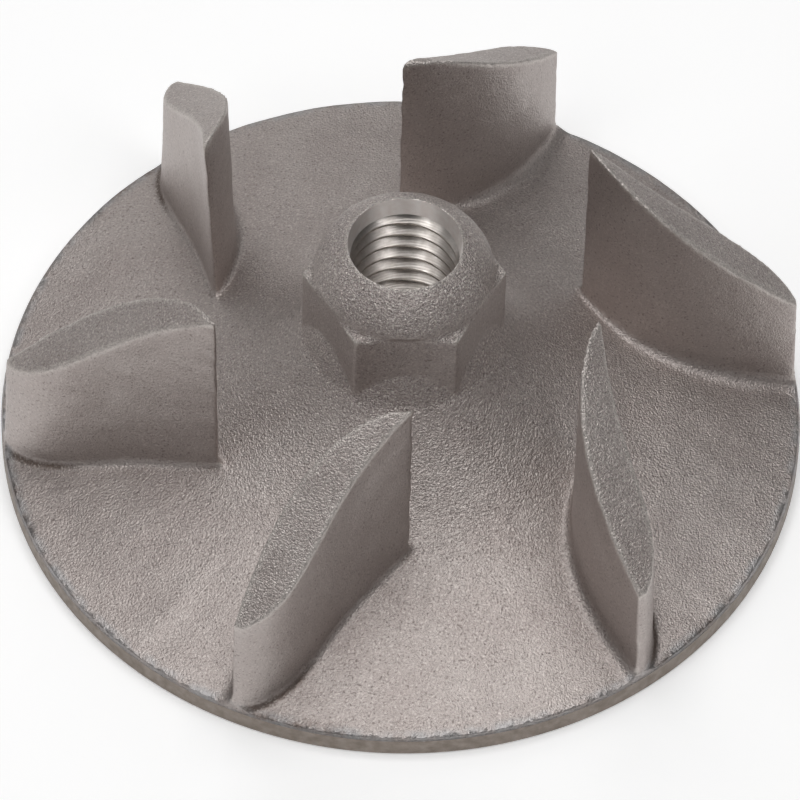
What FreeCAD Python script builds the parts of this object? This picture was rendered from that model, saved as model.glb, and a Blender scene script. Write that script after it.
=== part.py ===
import FreeCAD, Part
import math
import os

Vec = FreeCAD.Vector

# One-piece cast impeller of a small pump, in millimetres. The flat underside lies on z = 0
# and the shaft axis is Z, with the threaded nose at the top.

# Round back plate
PLATE_D = 45.0
RIM_THICKNESS = 1.3

# Flare: the plate's upper side is a shallow cone at the rim, then rises in a hollow sweep
# to the hexagon's corners, and from there straight up to the middle of its flats
FLARE_SLOPE_DEG = 16.0
FLARE_SWEEP_R = 17.0
FLARE_NECK_Z = 9.2
FLARE_TOP_Z = 11.2
FLARE_TOP_SINK = 0.05

# Hexagon for a spanner, with corners on the X axis
HEX_FLATS = 9.75
HEX_TOP_Z = 14.05

# Rounded nose that stands on the hexagon
NOSE_D = 10.0
NOSE_TOP_Z = 16.6
NOSE_WAIST_RISE = 0.3
NOSE_UNDERCUT = 0.35
NOSE_MOUTH_SLOPE_DEG = 22.0

# Bore for the shaft's thread, right through, with a plain lead-in at the nose
THREAD_MAJOR_D = 6.0
LEAD_IN_D = 6.2
LEAD_IN_DEPTH = 1.2
BACK_CHAMFER = 0.4

# Vanes: upright crescents, swept back, sharp towards the hub and lower towards the rim.
# The pulls move the evenly spaced poles of a vane's two sides square to the chord, and hold
# at the height VANE_PLAN_Z.
VANE_COUNT = 6
VANE_LEAD_R = 11.9
VANE_LEAD_H = 17.45
VANE_LEAD_W = 0.5
VANE_TIP_SETBACK = 0.15
VANE_TIP_H = 8.35
VANE_TIP_W = 0.55
VANE_TIP_DRAFT_DEG = 2.0
VANE_SWEEP_DEG = 25.0
VANE_PLAN_Z = 9.0
VANE_WALL_DRAFT_DEG = 1.2
BACK_PULL_INNER = 3.0
BACK_PULL_OUTER = 1.9
FRONT_PULL_INNER = 0.18
FRONT_PULL_MIDDLE = -0.7
FRONT_PULL_OUTER = 2.4
FIRST_VANE_DEG = -90.0

# Fillet all round a vane's root, in a few flat steps: wide along its back, tight elsewhere
BACK_ROOT_FILLET = 0.8
FRONT_ROOT_FILLET = 0.45
END_ROOT_FILLET = 0.25
ROOT_STEPS = 3

# Extra size of shapes that are trimmed off again
SPARE = 2.0

PLATE_R = PLATE_D / 2
HEX_APOTHEM = HEX_FLATS / 2
HEX_CORNER_R = HEX_APOTHEM / math.cos(math.pi / 6)


def profile_point(radius, height):
    """Point of a turned profile, in the XZ plane."""
    return Vec(radius, 0, height)


def polar(radius, angle, height):
    """Point at a radius, an angle in radians and a height."""
    return Vec(radius * math.cos(angle), radius * math.sin(angle), height)


def lines(*points):
    """Straight edges from each point to the next."""
    return [Part.makeLine(a, b) for a, b in zip(points, points[1:])]


def turned(edges):
    """Solid of revolution of a closed profile about the shaft axis."""
    face = Part.Face(Part.Wire(edges))
    return face.revolve(Vec(0, 0, 0), Vec(0, 0, 1), 360)


def spun(shape, degrees):
    """Copy of a shape, turned about the shaft axis."""
    copy = shape.copy()
    copy.rotate(Vec(0, 0, 0), Vec(0, 0, 1), degrees)
    return copy


def arc_about(centre, start, end):
    """Short arc from start to end about a centre."""
    middle = ((start - centre) + (end - centre)).normalize() * (start - centre).Length
    return Part.Arc(start, centre + middle, end).toShape()


def arc_leaving(start, end, to_centre):
    """Arc from start to end whose centre lies in a given direction from its start."""
    chord = end - start
    radius = chord.dot(chord) / (2 * chord.dot(to_centre))
    return arc_about(start + to_centre * radius, start, end)


def flare_sweep():
    """End of the flare's cone, and the centre of the sweep that is tangent to it."""
    slope = math.radians(FLARE_SLOPE_DEG)
    outward = Vec(math.cos(slope), 0, -math.sin(slope))
    upward = Vec(math.sin(slope), 0, math.cos(slope))
    rim = profile_point(PLATE_R, RIM_THICKNESS)
    offset = rim + upward * FLARE_SWEEP_R - profile_point(HEX_CORNER_R, FLARE_NECK_Z)
    along = offset.dot(outward)
    run = along - math.sqrt(along ** 2 - offset.dot(offset) + FLARE_SWEEP_R ** 2)
    cone_end = rim - outward * run
    return cone_end, cone_end + upward * FLARE_SWEEP_R


def flare_z(radius):
    """Height of the flare at a radius between the hexagon and the rim."""
    cone_end, centre = flare_sweep()
    if radius > cone_end.x:
        return RIM_THICKNESS + (PLATE_R - radius) * math.tan(math.radians(FLARE_SLOPE_DEG))
    return centre.z - math.sqrt(FLARE_SWEEP_R ** 2 - (radius - centre.x) ** 2)


def plate():
    """Back plate with its flare, wider than the rim so that the vanes' roots find room."""
    cone_end, centre = flare_sweep()
    outer = profile_point(PLATE_R + SPARE, flare_z(PLATE_R + SPARE))
    neck = profile_point(HEX_CORNER_R, FLARE_NECK_Z)
    top = profile_point(HEX_APOTHEM - FLARE_TOP_SINK, FLARE_TOP_Z)
    sunk = profile_point(top.x - FLARE_TOP_SINK, HEX_TOP_Z - NOSE_UNDERCUT)
    foot = lines(profile_point(0, 0), profile_point(outer.x, 0), outer, cone_end)
    sweep = arc_about(centre, cone_end, neck)
    core = lines(neck, top, sunk, profile_point(0, sunk.z), profile_point(0, 0))
    blank = turned(foot + [sweep] + core)
    channel_middle = FIRST_VANE_DEG - (360.0 / VANE_COUNT + VANE_SWEEP_DEG) / 2
    return spun(blank, channel_middle)


def at_height(point, height_at):
    """A plan point lifted to the height that holds at its radius."""
    return Vec(point.x, point.y, height_at(math.hypot(point.x, point.y)))


def wall_lean(z):
    """How much further out a wall stands at a height than at VANE_PLAN_Z."""
    return (VANE_PLAN_Z - z) * math.tan(math.radians(VANE_WALL_DRAFT_DEG))


def bowed_side(start, end, pulls, outward_sign, height_at):
    """One side of a vane: a smooth curve drawn off its chord by its evenly spaced poles."""
    chord = Vec(end.x - start.x, end.y - start.y, 0)
    normal = Vec(chord.y, -chord.x, 0).normalize() * outward_sign
    poles = [start]
    for i, pull in enumerate(pulls):
        on_chord = Vec(start.x, start.y, 0) + chord * ((i + 1) / (len(pulls) + 1))
        lean = wall_lean(height_at(math.hypot(on_chord.x, on_chord.y)))
        poles.append(at_height(on_chord + normal * (pull + lean), height_at))
    curve = Part.BezierCurve()
    curve.setPoles(poles + [end])
    return curve.toShape()


def vane_outline(back_z, front_z, back_spread=0.0, front_spread=0.0, end_spread=0.0):
    """Closed outline of a vane; functions of the radius give the heights of its two sides.

    The spreads move its sides and its narrow ends outwards.
    """
    tip_draft = (front_z(PLATE_R) - RIM_THICKNESS) * math.tan(math.radians(VANE_TIP_DRAFT_DEG))
    tip_r = PLATE_R - VANE_TIP_SETBACK - tip_draft + end_spread
    tip_angle = -math.radians(VANE_SWEEP_DEG)
    lead_r = VANE_LEAD_R - end_spread
    lead_front = at_height(polar(lead_r, (VANE_LEAD_W / 2 + front_spread) / lead_r, 0), front_z)
    lead_back = at_height(polar(lead_r, -(VANE_LEAD_W / 2 + back_spread) / lead_r, 0), back_z)
    tip_front = at_height(polar(tip_r, tip_angle + (VANE_TIP_W / 2 + front_spread) / tip_r, 0), front_z)
    tip_back = at_height(polar(tip_r, tip_angle - (VANE_TIP_W / 2 + back_spread) / tip_r, 0), back_z)
    back = bowed_side(lead_back, tip_back, [BACK_PULL_INNER, BACK_PULL_OUTER], 1, back_z)
    front = bowed_side(lead_front, tip_front,
                       [FRONT_PULL_INNER, FRONT_PULL_MIDDLE, FRONT_PULL_OUTER], -1, front_z)
    tip_end = Part.makeLine(tip_back, tip_front)
    lead_end = Part.makeLine(lead_front, lead_back)
    return Part.Wire([back, tip_end, front, lead_end])


def root_outline(swing, lift):
    """Outline of the root fillets at shares of their radii out from the walls and up."""
    return vane_outline(lambda radius: flare_z(radius) + BACK_ROOT_FILLET * lift,
                        lambda radius: flare_z(radius) + FRONT_ROOT_FILLET * lift,
                        BACK_ROOT_FILLET * swing, FRONT_ROOT_FILLET * swing, END_ROOT_FILLET * swing)


def level_outline(z, swing=0.0):
    """Outline of a vane at one height."""
    return vane_outline(lambda radius: z, lambda radius: z,
                        BACK_ROOT_FILLET * swing, FRONT_ROOT_FILLET * swing, END_ROOT_FILLET * swing)


def cover():
    """Everything under the cone that the vanes' top faces lie on."""
    fall = (VANE_LEAD_H - VANE_TIP_H) / (PLATE_R - VANE_LEAD_R)
    outer_r = PLATE_R + SPARE
    outer_z = VANE_TIP_H - fall * SPARE
    apex_z = VANE_LEAD_H + fall * VANE_LEAD_R
    cone = turned(lines(profile_point(0, 0), profile_point(outer_r, 0), profile_point(outer_r, outer_z),
                        profile_point(0, apex_z), profile_point(0, 0)))
    return spun(cone, 180)


def vanes():
    """All vanes, each with its leading edge over the middle of a flat of the hexagon."""
    step = math.pi / 2 / ROOT_STEPS
    sunk_swing = 1 + math.sin(step)
    sunk_lift = math.cos(step) - 1
    outlines = [level_outline(RIM_THICKNESS / 4, sunk_swing), root_outline(sunk_swing, sunk_lift)]
    for i in range(ROOT_STEPS):
        turn = step * (i + 1)
        outlines.append(root_outline(1 - math.sin(turn), 1 - math.cos(turn)))
    outlines.append(level_outline(VANE_LEAD_H + SPARE))
    vane = Part.makeLoft(outlines, True, True).common(cover())
    return [spun(vane, FIRST_VANE_DEG + i * 360.0 / VANE_COUNT) for i in range(VANE_COUNT)]


def hexagon():
    """Six-sided boss; the flare leaves its corners long and cuts a bow into each flat."""
    corners = [polar(HEX_CORNER_R, i * math.pi / 3, RIM_THICKNESS) for i in range(7)]
    outline = Part.Face(Part.makePolygon(corners))
    return outline.extrude(Vec(0, 0, HEX_TOP_Z - RIM_THICKNESS))


def nose():
    """Rounded collar above the hexagon, drawn in a little where it stands on it."""
    slope = math.radians(NOSE_MOUTH_SLOPE_DEG)
    mouth = profile_point(LEAD_IN_D / 2, NOSE_TOP_Z)
    waist = profile_point(NOSE_D / 2, HEX_TOP_Z + NOSE_WAIST_RISE)
    under = waist - profile_point(NOSE_UNDERCUT, NOSE_UNDERCUT)
    dome = arc_leaving(mouth, waist, Vec(-math.sin(slope), 0, -math.cos(slope)))
    inside = lines(waist, under, profile_point(0, under.z), profile_point(0, NOSE_TOP_Z), mouth)
    return turned([dome] + inside)


def bore():
    """Space of the shaft's thread, with the lead-in at the nose and a chamfer at the back."""
    thread_r = THREAD_MAJOR_D / 2
    lead_in_r = LEAD_IN_D / 2
    lead_in_z = NOSE_TOP_Z - LEAD_IN_DEPTH
    return turned(lines(profile_point(0, -SPARE), profile_point(thread_r + BACK_CHAMFER + SPARE, -SPARE),
                        profile_point(thread_r, BACK_CHAMFER), profile_point(thread_r, lead_in_z),
                        profile_point(lead_in_r, lead_in_z), profile_point(lead_in_r, NOSE_TOP_Z + SPARE),
                        profile_point(0, NOSE_TOP_Z + SPARE), profile_point(0, -SPARE)))


def impeller():
    """The whole casting, with the vanes' roots trimmed off at the rim."""
    cast = plate().fuse(vanes())
    cast = cast.common(Part.makeCylinder(PLATE_R, VANE_LEAD_H + SPARE))
    return cast.fuse([hexagon(), nose()]).cut(bore()).Solids[0]


os.makedirs("parts", exist_ok=True)
casting = impeller()
casting.exportStep("parts/impeller.step")
print("impeller", casting.isValid(), round(casting.Volume, 1), len(casting.Faces), casting.BoundBox)
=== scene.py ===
import bpy
import bmesh
import math
import numpy as np
from mathutils import Matrix, Vector


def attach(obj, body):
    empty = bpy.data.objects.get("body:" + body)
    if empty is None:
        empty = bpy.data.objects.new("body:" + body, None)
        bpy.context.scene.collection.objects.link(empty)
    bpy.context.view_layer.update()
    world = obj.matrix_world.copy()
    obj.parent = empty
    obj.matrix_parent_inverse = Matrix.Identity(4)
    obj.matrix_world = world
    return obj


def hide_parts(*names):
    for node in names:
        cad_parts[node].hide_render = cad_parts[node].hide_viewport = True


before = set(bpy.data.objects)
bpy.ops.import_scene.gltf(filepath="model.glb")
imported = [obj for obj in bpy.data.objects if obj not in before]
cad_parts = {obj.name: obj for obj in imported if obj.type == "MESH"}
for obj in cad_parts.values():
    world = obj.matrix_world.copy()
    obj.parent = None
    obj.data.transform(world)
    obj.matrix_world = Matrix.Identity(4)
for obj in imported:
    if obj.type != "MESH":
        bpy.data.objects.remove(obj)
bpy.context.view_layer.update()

# One-piece cast pump impeller with a machined thread in its bore. Lengths here are in
# millimetres and turned to metres by MM.
MM = 0.001

# Sizes that the casting in the frame is built to
PLATE_R = 22.5
RIM_THICKNESS = 1.3
PLATE_SLOPE = 16.0
VANE_LEAD_R = 11.9
VANE_LEAD_H = 17.45
VANE_TIP_R = 22.35
VANE_TIP_H = 8.35
VANE_SWEEP = 25.0
NOSE_TOP_Z = 16.6
BORE_R = 3.0
LEAD_IN_R = 3.1
LEAD_IN_DEPTH = 1.2
BACK_CHAMFER = 0.4


def srgb(hex_colour):
    """Linear colour of a six-digit sRGB hex value."""
    channels = [int(hex_colour[i:i + 2], 16) / 255 for i in (1, 3, 5)]
    linear = [c / 12.92 if c <= 0.04045 else ((c + 0.055) / 1.055) ** 2.4 for c in channels]
    return (*linear, 1.0)


# Camera, at the photograph's viewing angle. The part is turned a little in it.
VIEW_ELEVATION = 53.043
VIEW_ROLL = 1.452
VIEW_TURN = -2.31
VIEW_DISTANCE = 19.315 * PLATE_R
VIEW_AIM = (0.00129 * PLATE_R, -0.06284 * PLATE_R)
FRAME_WIDTH = 800
FOCAL_PIXELS = 7692.2
SENSOR = 36.0


def add_camera():
    """Long-lens camera above the front of the part."""
    elevation = math.radians(VIEW_ELEVATION)
    back = Vector((0, -math.cos(elevation), math.sin(elevation)))
    level_right = Vector((1, 0, 0))
    level_up = back.cross(level_right)
    roll = math.radians(VIEW_ROLL)
    right = math.cos(roll) * level_right + math.sin(roll) * level_up
    up = math.cos(roll) * level_up - math.sin(roll) * level_right
    place = VIEW_DISTANCE * back - VIEW_AIM[0] * right - VIEW_AIM[1] * up
    turn = Matrix.Rotation(math.radians(VIEW_TURN), 4, "Z")
    axes = Matrix((right, up, back)).transposed().to_4x4()
    data = bpy.data.cameras.new("camera")
    data.sensor_width = SENSOR
    data.lens = FOCAL_PIXELS / FRAME_WIDTH * SENSOR
    camera = bpy.data.objects.new("camera", data)
    camera.matrix_world = turn @ Matrix.Translation(place * MM) @ axes
    bpy.context.scene.collection.objects.link(camera)
    bpy.context.scene.camera = camera


LAMP_DISTANCE = 400.0


def soft_lamp(name, azimuth, elevation, size, radiance):
    """Square softbox that faces the part; the radiance is what a mirror would show of it."""
    around, above = math.radians(azimuth), math.radians(elevation)
    towards = Vector((math.cos(above) * math.cos(around), math.cos(above) * math.sin(around),
                      math.sin(above)))
    place = towards * LAMP_DISTANCE * MM
    data = bpy.data.lights.new(name, "AREA")
    data.shape = "SQUARE"
    data.size = size * MM
    data.energy = radiance * math.pi * (size * MM) ** 2
    lamp = bpy.data.objects.new(name, data)
    lamp.location = place
    lamp.rotation_euler = (-place).to_track_quat("-Z", "Y").to_euler()
    bpy.context.scene.collection.objects.link(lamp)


def add_node(tree, kind, links=None, **settings):
    """One shader or geometry node.

    Links and default values go in by the input's name or number, settings by their own name.
    """
    node = tree.nodes.new(kind)
    for name, value in settings.items():
        setattr(node, name, value)
    for name, value in (links or {}).items():
        socket = node.inputs[name]
        if isinstance(value, bpy.types.NodeSocket):
            tree.links.new(value, socket)
        else:
            socket.default_value = value
    return node


def new_material(name):
    """Empty node material, its tree and its output node."""
    material = bpy.data.materials.new(name)
    material.use_nodes = True
    tree = material.node_tree
    tree.nodes.clear()
    return material, tree, tree.nodes.new("ShaderNodeOutputMaterial")


def per_metre(size_mm):
    """Texture scale at which one cell of the pattern is that many millimetres."""
    return 1.0 / (size_mm * MM)


# Real sizes of the blasted surface's pattern, in millimetres
GRAIN = 0.085
CRATER = 0.15
SPECK = 0.13
PATCH = 3.5
STAIN = 1.3
GRAIN_DEPTH = 0.1

# A noise texture seldom leaves this span
NOISE_LOW, NOISE_HIGH = 0.3, 0.7

# Share by which the grain lightens and darkens the tone where it is coarsest, and how much of
# their own colour the marks bring; the root shade, the glint specks and the edge highlight among
# them are painted light and shade
GRAIN_CONTRAST = 0.3
PINHOLE_SHARE = 0.4
ROOT_SHADE_SHARE = 0.7
PAINTED_GLINT_SHARE = 0.6
# Lighter tone of the edges, partly wear and partly a painted highlight
LEAST_WEAR_AND_HIGHLIGHT, MOST_WEAR_AND_HIGHLIGHT = 0.15, 0.65
RIM_SHARE = 0.5

# Relief beside that of the grain, roughness, and the share of bare metal in the surface
CRATER_RELIEF = 0.5
PINHOLE_RELIEF = -0.15
SMOOTHEST, ROUGHEST = 0.46, 0.58
WALL_POLISH = 0.04
METAL_SHARE = 0.92

# Coarseness of the grain on upright walls, and what it gains on open ground and round the hub; it
# also sets the share of painted glint specks
COARSE_WALL = 0.3
COARSE_OPEN = 0.13
COARSE_HUB = 0.27


def blasted_cast_steel():
    """Investment-cast stainless steel, shot-blasted.

    The blasting leaves a matt warm grey with an even grain of small craters, and where it is
    coarse,
    painted glint specks: light flecks that stand in for facets catching the light. Pinholes of
    the casting show as soft dark specks. The metal is lighter on edges, partly from wear and
    partly as a painted highlight, a cooler grey in patches along the turned rim, and brown in the
    tight roots as painted shade.
    """
    material, tree, output = new_material("blasted_cast_steel")
    place = add_node(tree, "ShaderNodeTexCoord").outputs["Object"]
    coarse = add_node(tree, "ShaderNodeAttribute", attribute_name="coarse").outputs["Fac"]
    wear_and_highlight = add_node(tree, "ShaderNodeAttribute", attribute_name="wear_and_highlight").outputs["Fac"]
    painted_root_shade = add_node(tree, "ShaderNodeAttribute", attribute_name="painted_root_shade").outputs["Fac"]
    rim = add_node(tree, "ShaderNodeAttribute", attribute_name="rim").outputs["Fac"]

    grain = add_node(tree, "ShaderNodeTexNoise",
                     {"Vector": place, "Scale": per_metre(GRAIN), "Detail": 1.0,
                      "Roughness": 0.5}).outputs["Fac"]
    craters = add_node(tree, "ShaderNodeTexVoronoi",
                       {"Vector": place, "Scale": per_metre(CRATER), "Smoothness": 0.3},
                       feature="SMOOTH_F1").outputs["Distance"]
    specks = add_node(tree, "ShaderNodeTexNoise",
                      {"Vector": place, "Scale": per_metre(SPECK), "Detail": 0.0}).outputs["Fac"]
    patches = add_node(tree, "ShaderNodeTexNoise",
                       {"Vector": place, "Scale": per_metre(PATCH), "Detail": 3.0,
                        "Roughness": 0.6}).outputs["Fac"]
    stains = add_node(tree, "ShaderNodeTexNoise",
                      {"Vector": place, "Scale": per_metre(STAIN), "Detail": 2.0,
                       "Roughness": 0.5}).outputs["Fac"]
    # The lowest values of the specks are pinholes, and the highest are painted glint specks:
    # light flecks that stand in for facets catching the light
    pinholes = add_node(tree, "ShaderNodeMapRange", {0: specks, 1: 0.22, 2: 0.32, 3: 1.0, 4: 0.0},
                        interpolation_type="SMOOTHSTEP").outputs[0]
    painted_glints = add_node(tree, "ShaderNodeMapRange",
                      {0: specks, 1: 0.6, 2: 0.72, 3: 0.0, 4: PAINTED_GLINT_SHARE}).outputs[0]

    # Tone: slow patches, the grain, pinholes, painted brown shade in the roots, painted glint
    # specks, edges lighter from wear and a painted highlight, and the rim
    patchy = add_node(tree, "ShaderNodeMapRange", {0: patches, 1: 0.35, 2: 0.65}).outputs[0]
    metal = add_node(tree, "ShaderNodeMix", {0: patchy, 6: srgb("#b4aaa6"), 7: srgb("#bbb2ae")},
                     data_type="RGBA").outputs[2]
    swing = add_node(tree, "ShaderNodeMapRange",
                     {0: grain, 1: NOISE_LOW, 2: NOISE_HIGH, 3: -GRAIN_CONTRAST,
                      4: GRAIN_CONTRAST}).outputs[0]
    shade = add_node(tree, "ShaderNodeMath", {0: swing, 1: coarse, 2: 1.0},
                     operation="MULTIPLY_ADD").outputs[0]
    grained = add_node(tree, "ShaderNodeHueSaturation",
                       {"Value": shade, "Color": metal}).outputs[0]
    pinhole_share = add_node(tree, "ShaderNodeMath", {0: pinholes, 1: PINHOLE_SHARE},
                             operation="MULTIPLY").outputs[0]
    pitted = add_node(tree, "ShaderNodeMix",
                      {0: pinhole_share, 6: grained, 7: srgb("#5b5049")},
                      data_type="RGBA").outputs[2]
    # Painted shade: dark brown in the tight roots of the vanes
    root_shade_share = add_node(tree, "ShaderNodeMath", {0: painted_root_shade, 1: ROOT_SHADE_SHARE},
                          operation="MULTIPLY").outputs[0]
    root_shaded = add_node(tree, "ShaderNodeMix", {0: root_shade_share, 6: pitted, 7: srgb("#5a4638")},
                      data_type="RGBA").outputs[2]
    # Painted glint specks: light flecks that stand in for facets catching the light, more where
    # the grain is coarse
    painted_glint_share = add_node(tree, "ShaderNodeMath", {0: painted_glints, 1: coarse},
                           operation="MULTIPLY").outputs[0]
    glint_painted = add_node(tree, "ShaderNodeMix", {0: painted_glint_share, 6: root_shaded, 7: srgb("#ece6e0")},
                        data_type="RGBA").outputs[2]
    # Convex edges lighter: partly wear, partly a painted highlight
    flaky = add_node(tree, "ShaderNodeMapRange",
                     {0: grain, 1: 0.35, 2: 0.6, 3: LEAST_WEAR_AND_HIGHLIGHT, 4: MOST_WEAR_AND_HIGHLIGHT}).outputs[0]
    wear_and_highlight_share = add_node(tree, "ShaderNodeMath", {0: wear_and_highlight, 1: flaky},
                          operation="MULTIPLY").outputs[0]
    rubbed_and_highlit = add_node(tree, "ShaderNodeMix", {0: wear_and_highlight_share, 6: glint_painted, 7: srgb("#dbd5cf")},
                      data_type="RGBA").outputs[2]
    patchy_rim = add_node(tree, "ShaderNodeMapRange",
                          {0: stains, 1: 0.35, 2: 0.6, 3: 0.0, 4: RIM_SHARE}).outputs[0]
    rim_share = add_node(tree, "ShaderNodeMath", {0: rim, 1: patchy_rim},
                         operation="MULTIPLY").outputs[0]
    tone = add_node(tree, "ShaderNodeMix", {0: rim_share, 6: rubbed_and_highlit, 7: srgb("#b6b9bc")},
                    data_type="RGBA").outputs[2]

    # The shot polishes the upright walls more than it roughens them
    speckled = add_node(tree, "ShaderNodeMapRange",
                        {0: grain, 1: NOISE_LOW, 2: NOISE_HIGH, 3: SMOOTHEST,
                         4: ROUGHEST}).outputs[0]
    smoother = add_node(tree, "ShaderNodeMapRange",
                        {0: coarse, 1: COARSE_WALL, 2: COARSE_WALL + COARSE_OPEN,
                         3: -WALL_POLISH, 4: 0.0}).outputs[0]
    gloss = add_node(tree, "ShaderNodeMath", {0: speckled, 1: smoother},
                     operation="ADD").outputs[0]

    cratered = add_node(tree, "ShaderNodeMath", {0: craters, 1: CRATER_RELIEF, 2: grain},
                        operation="MULTIPLY_ADD").outputs[0]
    relief = add_node(tree, "ShaderNodeMath", {0: pinholes, 1: PINHOLE_RELIEF, 2: cratered},
                      operation="MULTIPLY_ADD").outputs[0]
    normal = add_node(tree, "ShaderNodeBump",
                      {"Strength": coarse, "Distance": GRAIN_DEPTH * MM,
                       "Height": relief}).outputs["Normal"]
    shader = add_node(tree, "ShaderNodeBsdfPrincipled",
                      {"Base Color": tone, "Metallic": METAL_SHARE, "Roughness": gloss,
                       "Normal": normal})
    tree.links.new(shader.outputs[0], output.inputs["Surface"])
    return material


# Pattern of the turned faces: how far the tool wanders, in millimetres and in radians of its
# lines, the size of a smear, and the depth of the lines
TOOL_WANDER = 2.0
LINE_SHIFT = 8.0
SMEAR = 0.5
LINE_DEPTH = 0.01
QUARTER_TURN = 0.25


def turned_steel(name, dull, bright, smooth, rough, line_spacing, line_strength, brushed):
    """The same steel, cut on a lathe.

    The tool leaves fine lines round the axis, so that a reflection is stretched across them,
    and here and there a smear.
    """
    material, tree, output = new_material(name)
    place = add_node(tree, "ShaderNodeTexCoord").outputs["Object"]
    height = add_node(tree, "ShaderNodeSeparateXYZ", {0: place}).outputs[2]
    wander = add_node(tree, "ShaderNodeTexNoise",
                      {"Vector": place, "Scale": per_metre(TOOL_WANDER)}).outputs["Fac"]
    smear = add_node(tree, "ShaderNodeTexNoise",
                     {"Vector": place, "Scale": per_metre(SMEAR), "Detail": 3.0,
                      "Roughness": 0.6}).outputs["Fac"]
    turns = add_node(tree, "ShaderNodeMath",
                     {0: height, 1: 2 * math.pi * per_metre(line_spacing)},
                     operation="MULTIPLY").outputs[0]
    shifted = add_node(tree, "ShaderNodeMath", {0: wander, 1: LINE_SHIFT, 2: turns},
                       operation="MULTIPLY_ADD").outputs[0]
    lines = add_node(tree, "ShaderNodeMath", {0: shifted}, operation="SINE").outputs[0]
    share = add_node(tree, "ShaderNodeMapRange",
                     {0: smear, 1: NOISE_LOW, 2: NOISE_HIGH}).outputs[0]
    tone = add_node(tree, "ShaderNodeMix", {0: share, 6: srgb(dull), 7: srgb(bright)},
                    data_type="RGBA").outputs[2]
    gloss = add_node(tree, "ShaderNodeMapRange",
                     {0: smear, 1: NOISE_LOW, 2: NOISE_HIGH, 3: rough, 4: smooth}).outputs[0]
    grooves = add_node(tree, "ShaderNodeBump",
                       {"Strength": line_strength, "Distance": LINE_DEPTH * MM,
                        "Height": lines}).outputs["Normal"]
    around = add_node(tree, "ShaderNodeTangent", direction_type="RADIAL", axis="Z").outputs[0]
    shader = add_node(tree, "ShaderNodeBsdfPrincipled",
                      {"Base Color": tone, "Metallic": 1.0, "Roughness": gloss,
                       "Normal": grooves, "Tangent": around, "Anisotropic": brushed,
                       "Anisotropic Rotation": QUARTER_TURN})
    tree.links.new(shader.outputs[0], output.inputs["Surface"])
    return material


# Finishes of turned_steel: dull and bright tone, least and most roughness, spacing of the tool
# lines in millimetres, their strength, and how much they stretch a reflection
TURNED_FINISHES = {
    # Thread and back, cut sharp: bright bands between dark ones
    "machined_bore_steel": ("#d6cec7", "#f3ece6", 0.29, 0.4, 0.09, 0.2, 0.35),
    # Edge of the plate, turned and then tanned a little: a dull brown-grey line
    "turned_rim_steel": ("#8a8077", "#9c928a", 0.38, 0.5, 0.16, 0.15, 0.75),
    # Mouth of the bore, fine-turned: an even pale band with faint brush marks
    "fine_turned_lead_in": ("#f6ede8", "#fff9f5", 0.72, 0.8, 0.09, 0.1, 1.0),
    # Root of the thread, dark brown as painted shade: thin dark brown lines
    "thread_root_painted_shade": ("#3c3029", "#574a40", 0.4, 0.55, 0.2, 0.1, 0.5),
}

PAPER_GLOW = 0.25


def pale_floor():
    """Matt white paper, plain white to the camera and in reflections; it keeps the shadow."""
    material, tree, output = new_material("white_paper")
    seen = add_node(tree, "ShaderNodeLightPath")
    direct = add_node(tree, "ShaderNodeMath",
                      {0: seen.outputs["Is Camera Ray"], 1: seen.outputs["Is Glossy Ray"]},
                      operation="MAXIMUM").outputs[0]
    strength = add_node(tree, "ShaderNodeMath", {0: direct, 1: PAPER_GLOW},
                        operation="MULTIPLY").outputs[0]
    paper = add_node(tree, "ShaderNodeBsdfDiffuse", {"Color": srgb("#fcfcfc")})
    glow = add_node(tree, "ShaderNodeEmission", {"Color": (1, 1, 1, 1), "Strength": strength})
    both = add_node(tree, "ShaderNodeAddShader", {0: paper.outputs[0], 1: glow.outputs[0]})
    tree.links.new(both.outputs[0], output.inputs["Surface"])
    return material


def new_piece(name, mesh, materials, smooth=True):
    """Object of a finished mesh, which holds its own place."""
    piece = bpy.data.objects.new(name, mesh)
    bpy.context.scene.collection.objects.link(piece)
    mesh.materials.clear()
    for material in materials:
        mesh.materials.append(material)
    if smooth:
        mesh.shade_smooth()
    return piece


def apply_modifiers(piece):
    """Makes the modifiers of an object part of its mesh."""
    old = piece.data
    shown = piece.evaluated_get(bpy.context.evaluated_depsgraph_get())
    new = bpy.data.meshes.new_from_object(shown)
    piece.modifiers.clear()
    piece.data = new
    bpy.data.meshes.remove(old)
    return new


def positions(mesh):
    """All vertices of a mesh, in millimetres."""
    flat = np.empty(len(mesh.vertices) * 3)
    mesh.vertices.foreach_get("co", flat)
    return flat.reshape(-1, 3) / MM


def put_positions(mesh, points):
    """Moves all vertices of a mesh to points in millimetres."""
    mesh.vertices.foreach_set("co", (points * MM).ravel())
    mesh.update()


def vertex_normals(mesh):
    """Normals of all vertices."""
    flat = np.empty(len(mesh.vertices) * 3)
    mesh.vertices.foreach_get("normal", flat)
    return flat.reshape(-1, 3)


def neighbour_mean(mesh, values):
    """Mean of each vertex's neighbours, of one or more values a vertex."""
    ends = np.empty(len(mesh.edges) * 2, np.int32)
    mesh.edges.foreach_get("vertices", ends)
    a, b = ends.reshape(-1, 2).T
    number = len(values)
    count = np.bincount(a, minlength=number) + np.bincount(b, minlength=number)
    columns = values.reshape(number, -1)
    total = np.stack([np.bincount(a, c[b], number) + np.bincount(b, c[a], number)
                      for c in columns.T], axis=1)
    return (total / np.maximum(count, 1)[:, None]).reshape(values.shape)


def store(mesh, name, values):
    """Keeps one value a vertex on the mesh, for the material."""
    attribute = mesh.attributes.new(name, "FLOAT", "POINT")
    attribute.data.foreach_set("value", values.astype(np.float32))


def ramp(values, low, high):
    """Smooth step from 0 at low to 1 at high."""
    t = np.clip((values - low) / (high - low), 0, 1)
    return t * t * (3 - 2 * t)


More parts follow.
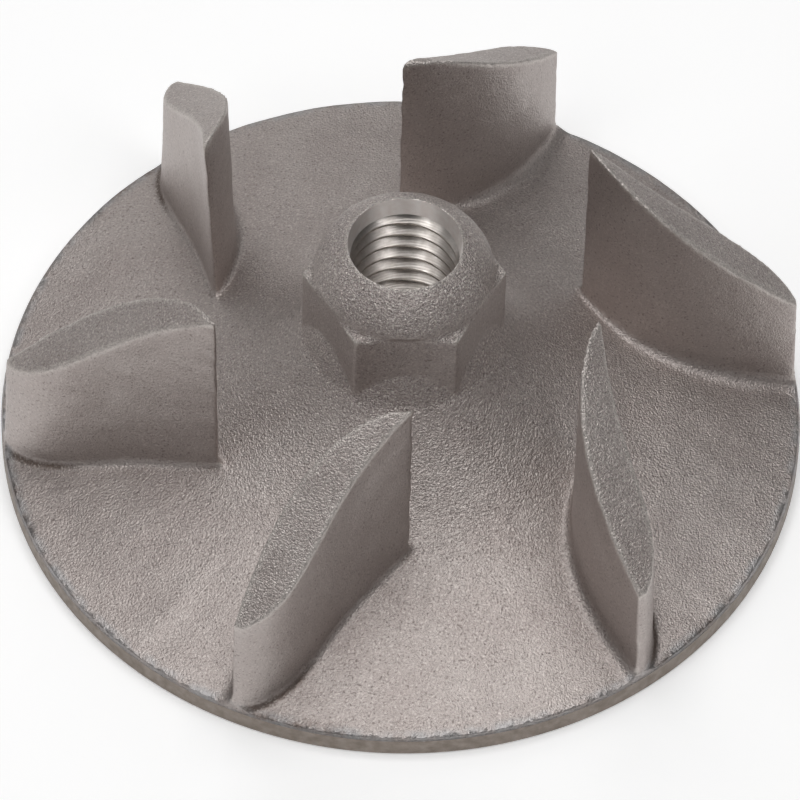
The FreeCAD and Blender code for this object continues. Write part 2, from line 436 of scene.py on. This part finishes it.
def plate_top(radius):
    """Height of the plate's cone, in millimetres."""
    return RIM_THICKNESS + math.tan(math.radians(PLATE_SLOPE)) * (PLATE_R - radius)


def along_vane(radius):
    """Share of the way from a vane's leading edge, at 0, to its tip, at 1."""
    return np.clip((radius - VANE_LEAD_R) / (VANE_TIP_R - VANE_LEAD_R), 0, 1)


def from_vane(angle, lead_angle, along):
    """Degrees from the middle of a vane, that sweeps back from its leading edge to its tip."""
    return (np.degrees(angle) - lead_angle + VANE_SWEEP * along + 180) % 360 - 180


def revolved(work, profile, ring_shaped, segments):
    """Adds a closed shape turned round the axis, from a profile of radius and height."""
    angles = np.linspace(0, 2 * math.pi, segments, endpoint=False)
    rings = [[work.verts.new(Vector((radius * math.cos(a), radius * math.sin(a), height)) * MM)
              for a in angles] for radius, height in profile]
    pairs = list(zip(rings, rings[1:]))
    if ring_shaped:
        pairs.append((rings[-1], rings[0]))
    else:
        work.faces.new(rings[0])
        work.faces.new(rings[-1])
    for lower, upper in pairs:
        for i in range(segments):
            j = (i + 1) % segments
            work.faces.new((lower[i], upper[i], upper[j], lower[j]))


# Metric thread: its crest stands at the bore's radius and its root is cut into the wall
PITCH = 1.0
MOUTH_R = LEAD_IN_R + 0.07
LEAD_IN_Z = NOSE_TOP_Z - LEAD_IN_DEPTH
THREAD_CREST_R = BORE_R - 0.06
THREAD_ROOT_R = BORE_R + 0.34
THREAD_END_Z = 0.9
THREAD_RUN_OUT = 0.5
RIDGE_SINK = 0.04
ROOT_SHARE = 0.82
CREST_SHARE = 0.15
TURN_SEGMENTS = 96
THREAD_CREASE = 25.0

# Metal left on the rough casting for the lathe to take off
ALLOWANCE = 0.35
MOUTH_LAND = 0.02
PLUG_R = BORE_R + 0.45
PLUG_SHOULDER = 0.4
PLUG_SEGMENTS = 96

# Skin of the casting, its unevenness as size and depth of the dents, and the lathe's cut
MERGE_DISTANCE = 0.002
VOXEL = 0.14
EDGE_SOFTENING = 2
DENTS = ((2.2, 0.08), (0.7, 0.03))
ROUGH_TRIANGLES = 235000
LATHE_SEGMENTS = 192
EDGE_BREAK = 0.09
CUT_MARGIN = 0.01
CUT_CREASE = 0.9


def rough_casting():
    """The node's shape before machining: a wider rim, a deeper back and a filled bore."""
    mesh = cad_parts["impeller"].data.copy()
    work = bmesh.new()
    work.from_mesh(mesh)
    bmesh.ops.remove_doubles(work, verts=work.verts, dist=MERGE_DISTANCE * MM)
    work.to_mesh(mesh)
    at = positions(mesh)
    radius = np.hypot(at[:, 0], at[:, 1])
    rim = radius > PLATE_R - 0.1
    at[rim, :2] *= (1 + ALLOWANCE / radius[rim])[:, None]
    at[at[:, 2] < CUT_MARGIN, 2] -= ALLOWANCE
    put_positions(mesh, at)
    work.clear()
    work.from_mesh(mesh)
    plug = [(PLUG_R, -ALLOWANCE), (PLUG_R, NOSE_TOP_Z - PLUG_SHOULDER),
            (MOUTH_R + MOUTH_LAND, NOSE_TOP_Z)]
    revolved(work, plug, False, PLUG_SEGMENTS)
    bmesh.ops.recalc_face_normals(work, faces=work.faces)
    work.to_mesh(mesh)
    work.free()
    return mesh


# How each cast vane strays from the nominal one, by the angle of its leading edge: that edge
# and the tip swung forwards, both lowered, the leading corner rounded off and leaning outwards
# (all in millimetres), the share by which it is slimmer, and how much softer its edges are
VANE_STRAYS = {
    -90: (0.0, 0.0, -0.05, 0.0, 0.25, 0.0, 0.0, 0.0),
    -30: (0.0, 0.0, 0.0, 0.0, 0.25, 0.0, 0.0, 0.0),
    30: (0.0, 0.0, 0.0, 0.0, 0.2, 0.0, 0.0, 0.0),
    90: (0.25, -0.3, -0.1, -0.1, 0.8, 0.35, 0.05, 0.4),
    150: (0.1, 0.0, -0.1, 0.1, 0.5, 0.7, 0.05, 0.4),
    210: (0.0, 0.0, -0.1, 0.0, 0.35, 0.1, 0.0, 0.6),
}
SOFT_PASSES = 10

# Where the strays fade in and out: over the radius outside the hub, over the degrees beside a
# vane, over the depth behind its leading edge, and over the share of its height
CLEAR_OF_HUB = (7.5, 11.0)
BESIDE_VANE = (14, 27)
BEHIND_EDGE = (0.2, 1.8)
UP_THE_VANE = (0.05, 0.3)
CRISP_EDGE = 0.8

# Waves of the leading edges: height in millimetres, radians a millimetre, and shift by vane
EDGE_WAVES = ((0.05, 1.7, 2), (0.02, 4.3, 5))


def settle_vanes(mesh):
    """Sets the vanes as the photographed casting has them, each a little off its place."""
    at = positions(mesh)
    radius = np.hypot(at[:, 0], at[:, 1])
    angle = np.arctan2(at[:, 1], at[:, 0])
    along = along_vane(radius)
    plate = plate_top(radius)
    vane_top = VANE_LEAD_H + (VANE_TIP_H - VANE_LEAD_H) * along
    up = np.clip((at[:, 2] - plate) / (vane_top - plate), 0, 1)
    edge = 1 - ramp(radius - VANE_LEAD_R, *BEHIND_EDGE)
    softness, turn, drop, outwards = (np.zeros(len(at)) for _ in range(4))
    for number, (lead_angle, stray) in enumerate(VANE_STRAYS.items()):
        lead_swing, tip_swing, lead_drop, tip_drop, corner, lean, slimmer, soft = stray
        beside = from_vane(angle, lead_angle, along)
        near = (1 - ramp(np.abs(beside), *BESIDE_VANE)) * ramp(radius, *CLEAR_OF_HUB)
        waver = sum(height * np.sin(rate * at[:, 2] + shift * number)
                    for height, rate, shift in EDGE_WAVES)
        swing = lead_swing * (1 - along) + tip_swing * along + waver * edge * up
        turn -= near * (swing / np.maximum(radius, 1) + slimmer * np.radians(beside))
        inset = np.clip(corner - (radius - VANE_LEAD_R), 0, corner)
        rounding = corner - np.sqrt(corner ** 2 - inset ** 2)
        drop += near * up * (lead_drop * (1 - along) + tip_drop * along + rounding)
        outwards += near * up * lean * (1 - along) ** 2
        softened = soft * near * ramp(up, *UP_THE_VANE) * (1 - CRISP_EDGE * edge)
        softness = np.maximum(softness, softened)
    at[:, :2] *= (1 + outwards / np.maximum(radius, 1))[:, None]
    x, y = at[:, 0].copy(), at[:, 1].copy()
    at[:, 0] = x * np.cos(turn) - y * np.sin(turn)
    at[:, 1] = x * np.sin(turn) + y * np.cos(turn)
    at[:, 2] -= drop
    for _ in range(SOFT_PASSES):
        at += 0.5 * softness[:, None] * (neighbour_mean(mesh, at) - at)
    put_positions(mesh, at)


def lathe_space():
    """All the room inside the machined faces: the casting is cut down to it."""
    mesh = bpy.data.meshes.new("lathe_space")
    work = bmesh.new()
    inside_rim = PLATE_R - EDGE_BREAK
    profile = [(BORE_R + BACK_CHAMFER, 0), (inside_rim, 0), (PLATE_R, EDGE_BREAK),
               (PLATE_R, RIM_THICKNESS - EDGE_BREAK), (inside_rim, RIM_THICKNESS),
               (inside_rim, VANE_LEAD_H), (MOUTH_R, VANE_LEAD_H), (MOUTH_R, NOSE_TOP_Z),
               (BORE_R, LEAD_IN_Z), (THREAD_ROOT_R, LEAD_IN_Z), (THREAD_ROOT_R, THREAD_END_Z),
               (BORE_R, THREAD_END_Z), (BORE_R, BACK_CHAMFER)]
    revolved(work, profile, True, LATHE_SEGMENTS)
    bmesh.ops.recalc_face_normals(work, faces=work.faces)
    work.to_mesh(mesh)
    work.free()
    return mesh


# Numbers of the casting's materials, in the order in which casting() adds them
CAST, BORE_CUT, RIM_CUT, LEAD_IN_CUT, THREAD_ROOT_CUT = 0, 1, 2, 3, 4


def name_cut_faces(mesh):
    """Gives the faces that the lathe cut their own finish, with a crisp edge round them."""
    count = len(mesh.polygons)
    centres = np.empty(count * 3)
    mesh.polygons.foreach_get("center", centres)
    centres = centres.reshape(-1, 3) / MM
    radius = np.hypot(centres[:, 0], centres[:, 1])
    height = centres[:, 2]
    in_thread = (height > THREAD_END_Z - CUT_MARGIN) & (height < LEAD_IN_Z + CUT_MARGIN)
    chamfer = radius + height < BORE_R + BACK_CHAMFER + CUT_MARGIN
    finish = np.full(count, CAST)
    finish[(radius > PLATE_R - 2 * CUT_MARGIN) & (height < RIM_THICKNESS)] = RIM_CUT
    finish[radius < MOUTH_R + CUT_MARGIN] = LEAD_IN_CUT
    # The thread's root faces take the painted dark shade
    finish[(radius < THREAD_ROOT_R + CUT_MARGIN) & in_thread] = THREAD_ROOT_CUT
    finish[(height < CUT_MARGIN) | chamfer] = BORE_CUT
    finish[(radius < BORE_R + CUT_MARGIN) & (height < THREAD_END_Z - CUT_MARGIN)] = BORE_CUT
    mesh.polygons.foreach_set("material_index", finish.astype(np.int32))
    mesh.update()
    work = bmesh.new()
    work.from_mesh(mesh)
    for edge in work.edges:
        if len(edge.link_faces) != 2:
            continue
        first, second = edge.link_faces
        if first.material_index != second.material_index:
            edge.smooth = False
        elif first.material_index != CAST:
            edge.smooth = first.normal.dot(second.normal) > CUT_CREASE
    work.to_mesh(mesh)
    work.free()


def casting():
    """The whole casting with the soft, slightly uneven edges of cast and blasted metal."""
    piece = new_piece("impeller_casting", rough_casting(), [])
    remesh = piece.modifiers.new("skin", "REMESH")
    remesh.mode = "VOXEL"
    remesh.voxel_size = VOXEL * MM
    soften = piece.modifiers.new("soften", "SMOOTH")
    soften.factor = 0.5
    soften.iterations = EDGE_SOFTENING
    dense = apply_modifiers(piece)
    settle_vanes(dense)
    for size, depth in DENTS:
        texture = bpy.data.textures.new("unevenness", "CLOUDS")
        texture.noise_scale = size * MM
        dents = piece.modifiers.new("dents", "DISPLACE")
        dents.texture = texture
        dents.texture_coords = "LOCAL"
        dents.strength = depth * MM
    thin = piece.modifiers.new("thin", "DECIMATE")
    thin.ratio = ROUGH_TRIANGLES / (2 * len(dense.polygons))
    apply_modifiers(piece)
    cutter = new_piece("lathe_space", lathe_space(), [], smooth=False)
    machined = piece.modifiers.new("machined", "BOOLEAN")
    machined.operation = "INTERSECT"
    machined.solver = "MANIFOLD"
    machined.object = cutter
    final = apply_modifiers(piece)
    bpy.data.objects.remove(cutter)
    final.materials.clear()
    final.materials.append(blasted_cast_steel())
    for name, finish in TURNED_FINISHES.items():
        final.materials.append(turned_steel(name, *finish))
    final.shade_smooth()
    name_cut_faces(final)
    mark_surface(final)
    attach(piece, "root")
    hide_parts("impeller")


BEND_PASSES = 4
LEAST_SPREAD = 1e-4


def curvature(mesh):
    """Mean curvature at each vertex, in 1/mm, from its neighbours; hollows are above 0."""
    at = positions(mesh)
    normal = vertex_normals(mesh)
    mean = neighbour_mean(mesh, at)
    square = (at ** 2).sum(1)
    spread = neighbour_mean(mesh, square) - 2 * (mean * at).sum(1) + square
    bend = 2 * ((mean - at) * normal).sum(1) / np.maximum(spread, LEAST_SPREAD)
    for _ in range(BEND_PASSES):
        bend = 0.5 * bend + 0.5 * neighbour_mean(mesh, bend)
    return bend


# Degrees beside a vane over which its tight root lies, and the depth behind its leading edge
ROOT_STARTS = (0.0, 2.0)
ROOT_ENDS = (16, 20)
ROOT_BEHIND_EDGE = 0.6


def tight_side(at):
    """1 on the side of each vane where the root is tight, which gets painted shade."""
    radius = np.hypot(at[:, 0], at[:, 1])
    angle = np.arctan2(at[:, 1], at[:, 0])
    share = np.zeros(len(at))
    for lead_angle in VANE_STRAYS:
        beside = from_vane(angle, lead_angle, along_vane(radius))
        share = np.maximum(share, ramp(beside, *ROOT_STARTS) * (1 - ramp(beside, *ROOT_ENDS)))
    return share * ramp(radius, VANE_LEAD_R, VANE_LEAD_R + ROOT_BEHIND_EDGE)


# Spans over which the marks fade, in millimetres, in the upward share of the normal, or in 1/mm
FACES_UP = (0.3, 0.8)
FLARE_R = (7.0, 19.0)
VANE_TOP_Z = (6.0, 8.0)
NOSE_R, NOSE_MIN_Z = 5.8, 8.0
NOSE_COARSE = (0.4, 0.6)
NOSE_FACES_UP = (0.0, 0.5)
FOOT_STEEP = (0.5, 0.64)
FOOT_FLAT = (0.74, 0.86)
FOOT_HEIGHT = (1.2, 2.0)
FOOT_PASSES = 2
FOOT_SPREAD = 1.5
RIM_HEIGHT = (0.2, 0.6)
RIM_BAND = (PLATE_R - 0.65, PLATE_R - 0.25)
WEAR_AND_HIGHLIGHT_BEND = (0.35, 1.2)


def mark_surface(mesh):
    """Where the grain is coarse, edges show wear and a painted highlight, roots get painted
    shade, and the rim is near.
    """
    at = positions(mesh)
    faces_up = vertex_normals(mesh)[:, 2]
    radius = np.hypot(at[:, 0], at[:, 1])
    above_plate = at[:, 2] - plate_top(radius)

    hub_or_top = np.maximum(1 - ramp(radius, *FLARE_R), ramp(at[:, 2], *VANE_TOP_Z))
    open_ground = ramp(faces_up, *FACES_UP)
    coarse = COARSE_WALL + open_ground * (COARSE_OPEN + COARSE_HUB * hub_or_top)
    nose = (radius < NOSE_R) & (at[:, 2] > NOSE_MIN_Z)
    on_nose = NOSE_COARSE[0] + NOSE_COARSE[1] * ramp(faces_up, *NOSE_FACES_UP)
    store(mesh, "coarse", np.where(nose, on_nose, coarse))

    # Painted shade in the tight roots: the foot of each vane on its tight side, spread a little
    foot = ramp(faces_up, *FOOT_STEEP) * (1 - ramp(faces_up, *FOOT_FLAT))
    foot *= (1 - ramp(above_plate, *FOOT_HEIGHT)) * tight_side(at)
    for _ in range(FOOT_PASSES):
        foot = np.minimum(FOOT_SPREAD * neighbour_mean(mesh, foot), 1)
    store(mesh, "painted_root_shade", foot)

    rim = ramp(radius, *RIM_BAND) * (1 - ramp(above_plate, *RIM_HEIGHT))
    store(mesh, "rim", rim)
    # Convex edges: partly wear, partly a painted highlight
    store(mesh, "wear_and_highlight", ramp(-curvature(mesh), *WEAR_AND_HIGHLIGHT_BEND) * (1 - rim))


def thread_tree(material):
    """Helical ridge of the thread: a trapezium swept down a right-hand spiral."""
    tree = bpy.data.node_groups.new("thread_ridge", "GeometryNodeTree")
    for name in ("Turns", "Pitch", "Root radius", "Crest radius", "Root width", "Crest width",
                 "Top height"):
        tree.interface.new_socket(name, in_out="INPUT", socket_type="NodeSocketFloat")
    tree.interface.new_socket("Geometry", in_out="OUTPUT", socket_type="NodeSocketGeometry")
    given = tree.nodes.new("NodeGroupInput").outputs
    output = tree.nodes.new("NodeGroupOutput")
    depth = add_node(tree, "ShaderNodeMath",
                     {0: given["Root radius"], 1: given["Crest radius"]},
                     operation="SUBTRACT").outputs[0]
    middle = add_node(tree, "ShaderNodeMath", {0: depth, 1: 0.5, 2: given["Crest radius"]},
                      operation="MULTIPLY_ADD").outputs[0]
    length = add_node(tree, "ShaderNodeMath", {0: given["Turns"], 1: given["Pitch"]},
                      operation="MULTIPLY").outputs[0]
    downward = add_node(tree, "ShaderNodeMath", {0: length, 1: -1.0},
                        operation="MULTIPLY").outputs[0]
    spiral = add_node(tree, "GeometryNodeCurveSpiral",
                      {"Resolution": TURN_SEGMENTS, "Rotations": given["Turns"],
                       "Start Radius": middle, "End Radius": middle, "Height": downward})
    lift = add_node(tree, "ShaderNodeCombineXYZ", {2: given["Top height"]})
    placed = add_node(tree, "GeometryNodeTransform",
                      {"Geometry": spiral.outputs[0], "Translation": lift.outputs[0]})
    level = add_node(tree, "GeometryNodeSetCurveNormal", {"Curve": placed.outputs[0]},
                     mode="Z_UP")
    ridge = add_node(tree, "GeometryNodeCurvePrimitiveQuadrilateral",
                     {"Bottom Width": given["Root width"], "Top Width": given["Crest width"],
                      "Offset": 0.0, "Height": depth}, mode="TRAPEZOID")
    # Three quarter turns set the crest towards the axis
    inward = add_node(tree, "GeometryNodeTransform",
                      {"Geometry": ridge.outputs[0], "Rotation": (0, 0, math.radians(270))})
    swept = add_node(tree, "GeometryNodeCurveToMesh",
                     {"Curve": level.outputs[0], "Profile Curve": inward.outputs[0],
                      "Fill Caps": True})
    real = add_node(tree, "GeometryNodeRealizeInstances", {"Geometry": swept.outputs[0]})
    coated = add_node(tree, "GeometryNodeSetMaterial",
                      {"Geometry": real.outputs[0], "Material": material})
    tree.links.new(coated.outputs[0], output.inputs["Geometry"])
    return tree


def bore_thread():
    """Ridge of the machined thread on the bore's wall, from the lead-in down to the back."""
    steel = bpy.data.materials["machined_bore_steel"]
    piece = new_piece("bore_thread", bpy.data.meshes.new("bore_thread"), [], smooth=False)
    sweep = piece.modifiers.new("thread", "NODES")
    sweep.node_group = thread_tree(steel)
    values = {"Turns": (LEAD_IN_Z - THREAD_END_Z - THREAD_RUN_OUT) / PITCH,
              "Pitch": PITCH * MM,
              "Root radius": (THREAD_ROOT_R + RIDGE_SINK) * MM,
              "Crest radius": THREAD_CREST_R * MM,
              "Root width": ROOT_SHARE * PITCH * MM,
              "Crest width": CREST_SHARE * PITCH * MM,
              "Top height": LEAD_IN_Z * MM}
    for item in sweep.node_group.interface.items_tree:
        if item.name in values:
            sweep[item.identifier] = values[item.name]
    mesh = apply_modifiers(piece)
    work = bmesh.new()
    work.from_mesh(mesh)
    bmesh.ops.recalc_face_normals(work, faces=work.faces)
    work.to_mesh(mesh)
    work.free()
    mesh.materials.clear()
    mesh.materials.append(steel)
    mesh.shade_smooth()
    mesh.set_sharp_from_angle(angle=math.radians(THREAD_CREASE))
    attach(piece, "root")


FLOOR_HALF = 4000.0
FLOOR_GAP = 0.02


def add_floor():
    """Plain white floor, just under the part."""
    side = FLOOR_HALF * MM
    corners = [(-side, -side, 0), (side, -side, 0), (side, side, 0), (-side, side, 0)]
    mesh = bpy.data.meshes.new("floor")
    mesh.from_pydata(corners, [], [(0, 1, 2, 3)])
    floor = new_piece("floor", mesh, [pale_floor()], smooth=False)
    floor.location.z = -FLOOR_GAP * MM


def add_world(strength):
    """Faint even light from all round."""
    world = bpy.data.worlds.new("studio")
    bpy.context.scene.world = world
    world.use_nodes = True
    tree = world.node_tree
    tree.nodes.clear()
    room = add_node(tree, "ShaderNodeBackground",
                    {"Color": (1, 1, 1, 1), "Strength": strength})
    output = tree.nodes.new("ShaderNodeOutputWorld")
    tree.links.new(room.outputs[0], output.inputs["Surface"])


add_camera()
add_world(0.02)
# Softboxes: azimuth and elevation in degrees, size in millimetres, radiance. The one overhead
# lights the plate, and the others are weaker and model the vanes.
soft_lamp("overhead_softbox", 0, 90, 312, 3.1)
soft_lamp("left_front_softbox", 225, 52, 180, 1.45)
soft_lamp("right_front_softbox", 315, 52, 130, 1.9)
soft_lamp("left_softbox", 176, 28, 190, 0.45)
soft_lamp("back_softbox", 102, 45, 245, 1.05)
soft_lamp("low_back_softbox", 110, 18, 230, 0.35)
casting()
bore_thread()
add_floor()

scene = bpy.context.scene
scene.view_settings.view_transform = "Standard"
